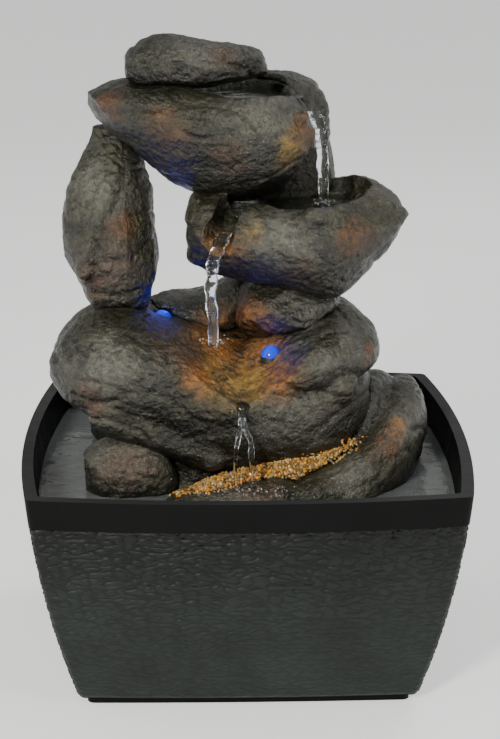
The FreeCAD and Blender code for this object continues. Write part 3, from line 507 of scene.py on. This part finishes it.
def sculpt(mesh, seed, broad=1.3, crease=0.8, lumps=0.55, fine=0.34):
    """Weathered stone: a broad warp, shallow creases along the bedding, lumps, and a hammered skin."""
    shift = Vector((seed * 0.37, seed * 0.91, seed * 0.53))
    normals = [v.normal.copy() for v in mesh.vertices]
    for vertex, normal in zip(mesh.vertices, normals):
        p = vertex.co
        flat = Vector((p.x * 0.6, p.y * 0.6, p.z * 1.6))
        wave = noise.noise(p * 38.0 + shift) * broad
        ridge = 1.0 - abs(noise.noise(flat * 46.0 + shift * 2)) * 3.0
        cut = -max(0.0, ridge - 0.55) * crease * 2.2
        lump = noise.fractal(p * 120.0 + shift, 1.0, 2.0, 3) * lumps
        skin = noise.noise(p * 340.0 - shift) * fine
        vertex.co = p + normal * (wave + cut + lump + skin) * MM
    mesh.update()


# Low ridges under the skin of a stone, by the first node of its cast: a node, the ridge's two ends in that
# node's box, and its radius in millimetres at each end.
RIDGES = {
    "base_stone": [("base_stone", (0.86, 0.17, 0.86), (0.58, 0.13, 0.52), 9, 6),
                   ("base_stone", (0.12, 0.17, 0.70), (0.44, 0.12, 0.40), 13, 9)],
    "upper_bowl_stone": [("upper_bowl_stone", (0.06, 0.34, 0.76), (0.50, 0.07, 0.66), 3.5, 6),
                         ("upper_bowl_stone", (0.50, 0.07, 0.66), (0.93, 0.20, 0.72), 6, 4)],
    "middle_bowl_stone": [("middle_bowl_stone", (0.97, 0.42, 0.70), (0.55, 0.06, 0.80), 3, 5)],
    "pillar_stone": [("pillar_stone", (0.25, 0.08, 0.25), (0.55, 0.10, 0.75), 5, 5)],
    "cap_stone": [("cap_stone", (0.20, 0.25, 0.62), (0.72, 0.14, 0.45), 4, 5)]}


def add_ridge(joined, start, end, r_start, r_end):
    """A run of overlapping balls, which the remesh melts into the stone."""
    for k in range(9):
        share = k / 8
        radius = r_start + (r_end - r_start) * share
        ball = bmesh.ops.create_icosphere(joined, subdivisions=3, radius=radius)
        bmesh.ops.translate(joined, verts=ball["verts"], vec=start.lerp(end, share))


# Stones that touch at the front are shaped together, so that no joint shows between them.
CASTS = [["base_stone", "left_shelf_stone", "right_shelf_stone", "spout_stone"],
         ["right_lip_stone", "apron_stone", "bank_stone"]]
# The neck and sill stones get painted shade: the darker copy of the stone, because they sit in shade at the
# back. The bank stone gets the same copy for its wet look.
SHADED_STONES = {"neck_stone", "sill_stone"}
WET_STONES = {"bank_stone"}
STONE_VOXEL = 1.05 * MM


def build_stones():
    brown = stone_material("stone_brown", (0.012, 0.0118, 0.0058), (0.042, 0.0408, 0.0198),
                           (0.112, 0.108, 0.060), 0.0, 0.07)
    # A darker, glossier copy of the stone: painted shade on the neck and sill stones, and a wet look on the
    # bank stone.
    dark = stone_material("stone_shaded_and_wet", (0.012, 0.0118, 0.0078), (0.040, 0.0395, 0.0260),
                          (0.095, 0.093, 0.070), -0.04, 0.20)
    in_casts = {n for cast in CASTS for n in cast}
    names = sorted(n for n in nodes if n.endswith(("_stone", "_pebble")) and n not in in_casts)
    meshes = {}
    for k, node_name in enumerate(names):
        ridges = RIDGES.get(node_name, ())
        mesh = copy_of([node_name], node_name + "_sculpted", STONE_VOXEL, 5, ridges=ridges)
        chisel(mesh, k + 1, (7.0 if node_name.startswith("rear") else 2.6) * MM)
        sculpt(mesh, k + 1)
        meshes[node_name] = mesh
    for k, cast in enumerate(CASTS):
        mesh = copy_of(cast, "cast", STONE_VOXEL, 8, swell=0.45 * MM, ridges=RIDGES.get(cast[0], ()))
        sculpt(mesh, 40 + k)
        meshes.update(parted(mesh, cast))
    for node_name, mesh in meshes.items():
        material = dark if node_name in SHADED_STONES | WET_STONES else brown
        piece = link_mesh(node_name + "_sculpted", mesh, "tower", material)
        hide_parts(node_name)


def parted(mesh, node_names):
    """Shares out the faces of stones that were cast together, each to the CAD node it lies nearest."""
    trees = [tree_of(nodes[n].data) for n in node_names]

    def nearest(point):
        return min(range(len(trees)), key=lambda t: trees[t].find_nearest(point)[3])
    owner = [nearest(face.center) for face in mesh.polygons]
    parts = {}
    for k, n in enumerate(node_names):
        bm = bmesh.new()
        bm.from_mesh(mesh)
        bm.faces.ensure_lookup_table()
        others = [bm.faces[i] for i, who in enumerate(owner) if who != k]
        bmesh.ops.delete(bm, geom=others, context="FACES")
        part = bpy.data.meshes.new(n + "_sculpted")
        bm.to_mesh(part)
        bm.free()
        parts[n] = part
    bpy.data.meshes.remove(mesh)
    return parts


# ---------------------------------------------------------------- gravel
GRAINS = 3000
GRAVEL_TONES = [(0.50, 0.22, 0.020), (0.58, 0.29, 0.035), (0.44, 0.14, 0.015), (0.54, 0.38, 0.13),
                (0.16, 0.11, 0.045), (0.30, 0.24, 0.15)]


def build_gravel():
    """A rough bed with loose grains on it, some of them spilled on to the stones around it."""
    bed = copy_of(["gravel_bed"], "gravel_bed_under", 1.2 * MM, 3)
    sculpt(bed, 31, 2.2, 0.6, 0.9)
    bed_piece = link_mesh("gravel_bed_under", bed, "tower",
                          stone_material("gravel_under", (0.11, 0.066, 0.018), (0.30, 0.165, 0.035),
                                         (0.44, 0.27, 0.080), 0.0, 0.25, patched=False))
    rng = random.Random(11)
    gravel = bmesh.new()
    layer = gravel.verts.layers.float_color.new("tint")
    faces = [f for f in bed.polygons if f.normal.z > 0.0]
    grounds = [tree_of(bed)] + [tree_of(bpy.data.meshes[n + "_sculpted"])
                                for n in ("apron_stone", "right_lip_stone", "bank_stone", "base_stone")]
    for _ in range(GRAINS):
        face = rng.choice(faces)
        start = face.center + (Vector((rng.gauss(0, 1.7), rng.gauss(0, 1.7), 0)) + face.normal * 5.0) * MM
        hits = [tree.ray_cast(start, -face.normal, 12 * MM) for tree in grounds]
        hits = [(far, at, normal) for at, normal, _, far in hits
                if at is not None and normal.dot(face.normal) > 0]
        if not hits:
            continue
        _, ground, up = min(hits, key=lambda hit: hit[0])
        grain = bmesh.ops.create_icosphere(gravel, subdivisions=1, radius=rng.uniform(0.3, 0.8) * MM)
        angle = rng.uniform(0, 6.28)
        axis = Vector((rng.gauss(0, 1), rng.gauss(0, 1), 1)).normalized()
        turn = Matrix.Rotation(angle, 4, axis)
        size = Matrix.Diagonal((rng.uniform(0.8, 1.35), rng.uniform(0.7, 1.1), rng.uniform(0.6, 1.0), 1))
        place = Matrix.Translation(ground + up * rng.uniform(0, 0.4) * MM)
        tone = rng.choice(GRAVEL_TONES)
        shade = rng.uniform(0.6, 1.4)
        for v in grain["verts"]:
            v.co = place @ turn @ size @ (v.co * rng.uniform(0.9, 1.12))
            v[layer] = (tone[0] * shade, tone[1] * shade, tone[2] * shade, 1)
    mesh = bpy.data.meshes.new("gravel_grains")
    gravel.to_mesh(mesh)
    gravel.free()
    grains = link_mesh("gravel_grains", mesh, "tower", gravel_material())
    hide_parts("gravel_bed")


# ---------------------------------------------------------------- basin
OUTSIDE = 0.2          # far enough from the basin's middle to be outside its wall
PANEL_SPAN = 0.19      # width of a panel, along which its strokes run
# Layers of strokes: how close they are across and up the panel, their weight, and where their noise starts.
STROKES = ((165.0, 460.0, 1.0, 7.0), (290.0, 740.0, 0.45, 19.0))


def groove_height(side, s, z, share):
    """Relief of a panel, from 0 to 1: short wavy chisel strokes, bold at the top and faint below."""
    sway = noise.noise(Vector((s * 60.0, z * 60.0, side + 3.0))) * 1.6 * MM
    strokes = 0.0
    for across_rate, up_rate, weight, layer in STROKES:
        n = noise.noise(Vector((s * across_rate, (z + sway) * up_rate, side * 5.0 + layer)))
        strokes += max(0.0, 1.0 - abs(n) * 3.8) * weight
    bold = 0.42 + 0.58 * share ** 1.5
    skin = noise.noise(Vector((s * 300.0, z * 800.0, side + 5.0))) * 0.10
    return max(0.0, min(1.0, 0.95 - min(1.0, strokes) * bold + skin))


def build_basin():
    """The grooved panel of each side: a fine grid laid on the shell's wall, raised by the relief."""
    shell = tree_of(nodes["basin_shell"].data)
    across, up = 250, 230
    slate = panel_material()
    for side in range(4):
        turn = Matrix.Rotation(math.pi / 2 * side, 3, "Z")
        verts, faces, heights = [], [], []
        for j in range(up + 1):
            share = j / up
            z = PANEL_LOW + (PANEL_HIGH - PANEL_LOW) * share
            edge = min(1.0, j / 3, (up - j) / 2)
            for i in range(across + 1):
                direction = turn @ Vector((1, 2 * i / across - 1, 0)).normalized()
                corner = min(1.0, i / 3, (across - i) / 3)
                relief = groove_height(side, i / across * PANEL_SPAN, z, share)
                relief = 0.5 * (1 - corner) + relief * corner
                heights.append(relief)
                wall = shell.ray_cast(direction * OUTSIDE + Vector((0, 0, z)), -direction)[0]
                verts.append(wall + direction * relief * PANEL_DEPTH * edge)
        row = across + 1
        for j in range(up):
            for i in range(across):
                a = j * row + i
                faces.append((a, a + 1, a + row + 1, a + row))
        mesh = smooth_mesh("basin_slate_panel", verts, faces)
        mesh.attributes.new("relief", "FLOAT", "POINT").data.foreach_set("value", heights)
        mesh.update()
        name = "basin_slate_panel_" + ("right", "back", "left", "front")[side]
        panel = link_mesh(name, mesh, "basin", slate)


# ---------------------------------------------------------------- water
RIPPLES_FROM = Vector((-2.0 * MM, -75.0 * MM, WATER_Z))      # open water in front of the lower fall
# Still water in the bowls: name, node, the place in its box that it spreads from, its reach in millimetres.
BOWLS = [("upper_pool_water", "upper_bowl_stone", (0.68, 0.49, 0.85), 27.0),
         ("middle_pool_water", "middle_bowl_stone", (0.48, 0.43, 0.82), 34.0)]
# The falls: name, the nodes and places in their boxes that they pass, their half widths there in mm.
# The lower fall leaves the spout as one and parts into two threads.
OUTLET = [("right_shelf_stone", 0.03, 0.12, -0.06), ("right_shelf_stone", 0.03, 0.01, -0.08),
          ("right_shelf_stone", 0.02, -0.06, -0.24)]
FALLS = [
    ("upper_fall",
     [("upper_bowl_stone", 0.99, 0.39, 0.73), ("upper_bowl_stone", 1.02, 0.33, 0.59),
      ("middle_bowl_stone", 0.6, 0.31, 1.24), ("middle_bowl_stone", 0.61, 0.31, 0.81)],
     [3.4, 3.2, 2.5, 1.9]),
    ("middle_fall",
     [("middle_bowl_stone", 0.17, 0.06, 0.68), ("middle_bowl_stone", 0.12, -0.03, 0.49),
      ("middle_bowl_stone", 0.11, -0.05, 0.29), ("left_shelf_stone", 0.86, 0.08, 0.83)],
     [3.2, 2.8, 2.3, 2.2]),
    ("lower_fall_left",
     OUTLET + [("base_stone", 0.52, -0.06, 0.54), ("base_stone", 0.52, -0.06, 0.23)],
     [1.5, 3.3, 1.5, 0.9, 0.8]),
    ("lower_fall_right",
     OUTLET + [("base_stone", 0.57, -0.05, 0.55), ("base_stone", 0.57, -0.06, 0.23)],
     [1.2, 2.9, 1.7, 1.2, 1.0])]
# Where the falls land: a node and a place in its box, how many drops fly up, and how far in millimetres.
SPLASHES = [(("base_stone", 0.55, -0.06, 0.23), 80, 24), (("left_shelf_stone", 0.86, 0.08, 0.84), 26, 7),
            (("middle_bowl_stone", 0.61, 0.31, 0.83), 22, 6)]


def disc_faces(rings, around):
    """Faces of a disc of rings of points: a fan about the first point, then strips between the rings."""
    faces = []
    for i in range(around):
        k = (i + 1) % around
        faces.append((0, 1 + i, 1 + k))
        for j in range(rings - 1):
            a = 1 + j * around
            b = a + around
            faces.append((a + i, b + i, b + k, a + k))
    return faces


def build_pool(water):
    """The basin's water, up to its wall, with ripples that die away."""
    shell = tree_of(nodes["basin_shell"].data)
    rings, around = 46, 220
    centre = Vector((0, 0, WATER_Z))
    verts = [centre]
    for j in range(1, rings + 1):
        for i in range(around):
            direction = heading(i, around)
            reach = shell.ray_cast(centre, direction)[3] - 0.2 * MM
            point = direction * reach * (j / rings) + centre
            distance = (point - RIPPLES_FROM).length
            ripple = 0.35 * math.sin(distance * 900.0) * math.exp(-distance * 28.0)
            ripple += noise.noise(point * 95.0) * 0.30
            point.z += ripple * MM
            verts.append(point)
    link_mesh("basin_water", smooth_mesh("basin_water", verts, disc_faces(rings, around)), "basin", water)


def bowl_water(name, node_name, start, most, water):
    """Still water in a bowl: a level sheet that runs out from a point until it meets the stone."""
    tree = tree_of(nodes[node_name].data)
    rings, around = 14, 72
    verts = [start]
    for j in range(1, rings + 1):
        for i in range(around):
            direction = heading(i, around)
            reach = tree.ray_cast(start, direction, most)[3] or most
            point = start + direction * (reach + 0.7 * MM) * (j / rings)
            point.z += noise.noise(point * 130.0) * 0.35 * MM
            verts.append(point)
    link_mesh(name, smooth_mesh(name, verts, disc_faces(rings, around)), "tower", water)


def stream(name, path, widths, seed, water):
    """A falling ribbon of water: a flattened tube along a bent path, which swells, thins and sways."""
    rows, around = 90, 18
    verts, faces = [], []
    for j in range(rows + 1):
        t = j / rows * (len(path) - 1)
        k = min(int(t), len(path) - 2)
        f = t - k
        width = (widths[k] * (1 - f) + widths[k + 1] * f) * MM
        width *= 1.0 + 0.30 * noise.noise(Vector((seed, j * 0.16, 1.0)))
        sway = [noise.noise(Vector((seed, j * 0.07, layer))) for layer in (5.0, 9.0)]
        centre = path[k].lerp(path[k + 1], f) + Vector((*sway, 0)) * 0.7 * MM
        for i in range(around):
            side = heading(i, around)
            swell = 1.0 + 0.28 * noise.noise(Vector((side.x * 1.3, side.y * 1.3 + seed, j * 0.11)))
            verts.append(centre + Vector((side.x, side.y * 0.6, 0)) * width * swell)
    for j in range(rows):
        for i in range(around):
            k = (i + 1) % around
            faces.append((j * around + i, (j + 1) * around + i, (j + 1) * around + k, j * around + k))
    faces.append(tuple(range(around)))
    faces.append(tuple(rows * around + i for i in reversed(range(around))))
    link_mesh(name, smooth_mesh(name, verts, faces), "tower", water)


def build_water():
    # Painted reflection: the pool water lets only part of the light through and has a grey colour of its
    # own, which lightens it the way reflected light would.
    pool_water = water_material("pool_water", (0.42, 0.46, 0.45), 0.03, 120.0, clear=0.72)
    bowl_surface = water_material("bowl_water", (0.75, 0.82, 0.84), 0.03, 160.0)
    fall_water = water_material("fall_water", (0.95, 0.98, 1.0), 0.04, 260.0)
    spray = water_material("spray_water", (0.95, 0.96, 0.97), 0.06, 400.0, clear=0.85)
    build_pool(pool_water)
    for name, node_name, shares, reach in BOWLS:
        bowl_water(name, node_name, spot(node_name, *shares), reach * MM, bowl_surface)
    for seed, (name, path, widths) in enumerate(FALLS, 1):
        stream(name, [spot(*place) for place in path], widths, seed, fall_water)
    build_drops(spray)


def build_drops(water):
    """Drops thrown up where the falls land, each a stretched bead of its own shape."""
    rng = random.Random(5)
    drops = bmesh.new()
    for foot, count, reach in SPLASHES:
        for _ in range(count):
            bead = bmesh.ops.create_icosphere(drops, subdivisions=2, radius=rng.uniform(0.14, 0.46) * MM)
            flight = (rng.gauss(0, reach * 0.5), rng.gauss(0, reach * 0.3), abs(rng.gauss(0, 1.8)))
            place = spot(*foot) + Vector(flight) * MM
            stretch = rng.uniform(0.7, 1.6)
            for v in bead["verts"]:
                swell = 1 + 0.2 * noise.noise(v.co * 1400)
                v.co = Vector((v.co.x, v.co.y, v.co.z * stretch)) * swell + place
    mesh = bpy.data.meshes.new("drops")
    drops.to_mesh(mesh)
    drops.free()
    mesh.polygons.foreach_set("use_smooth", [True] * len(mesh.polygons))
    link_mesh("drops", mesh, "tower", water)


# ---------------------------------------------------------------- lamps
GLOW = 0.005
# Each lamp's beam: watts, and the node and place in its box that it points at.
BEAMS = {"front": (0.20, ("middle_bowl_stone", 0.31, 0.17, 0.27)),
         "left": (0.30, ("upper_bowl_stone", 0.31, 0.18, 0.48))}


def lamp_light(name, kind, place, power, aim=None):
    data = bpy.data.lights.new(name, kind)
    data.energy, data.color, data.shadow_soft_size = power, (0.02, 0.04, 1.0), 9.0 * MM
    light = add_object(name, data)
    light.location = place
    if aim is not None:
        data.spot_size, data.spot_blend = math.radians(48), 0.9
        light.rotation_euler = (aim - place).to_track_quat("-Z", "Y").to_euler()
    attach(light, "tower")


def build_lamp_light():
    """Each lamp throws a beam up at the stone over it, and a little light around its lens."""
    for name, (power, aim) in BEAMS.items():
        over = spot("lamp_lens_" + name, 0.5, 0.5, 1.0) + Vector((0, 0, 3.0 * MM))
        lamp_light("glow_" + name, "POINT", over, GLOW)
        lamp_light("beam_" + name, "SPOT", over, power, spot(*aim))


# ---------------------------------------------------------------- CAD pieces that stay
def paint_cad():
    """Gives the CAD pieces that still show their materials, by the slot that each one names."""
    finishes = {
        "basin": basin_material(),
        "deck": plastic_material("deck_plastic", (0.018, 0.019, 0.019), 0.5),
        "rubber": plastic_material("rubber", (0.02, 0.02, 0.02), 0.85, 1200.0),
        "cable": plastic_material("cable_jacket", (0.015, 0.015, 0.016), 0.6, 900.0),
        "hose": plastic_material("hose_plastic", (0.24, 0.25, 0.25), 0.25, 300.0),
        "black_plastic": plastic_material("black_plastic", (0.022, 0.022, 0.023), 0.36),
        "white_plastic": plastic_material("white_plastic", (0.72, 0.72, 0.7), 0.35),
        "grey_plastic": plastic_material("grey_plastic", (0.25, 0.25, 0.26), 0.45),
        "ceramic_shaft": plastic_material("ceramic_shaft", (0.78, 0.77, 0.72), 0.2),
        "magnet": metal_material("ferrite", (0.10, 0.10, 0.11), 0.55),
        "nickel": metal_material("nickel", (0.62, 0.60, 0.56), 0.28),
        "sponge": sponge_material(),
        "board": plastic_material("board_green", (0.02, 0.16, 0.07), 0.35, 1500.0),
        "blue_lens": lens_material(),
    }
    for part in frame["record"]["subparts"]:
        material = finishes.get(part["material_slot"])
        if material:
            for slot in nodes[part["node"]].material_slots:
                slot.material = material


set_camera()
set_studio()
paint_cad()
build_stones()
build_gravel()
build_basin()
build_water()
build_lamp_light()
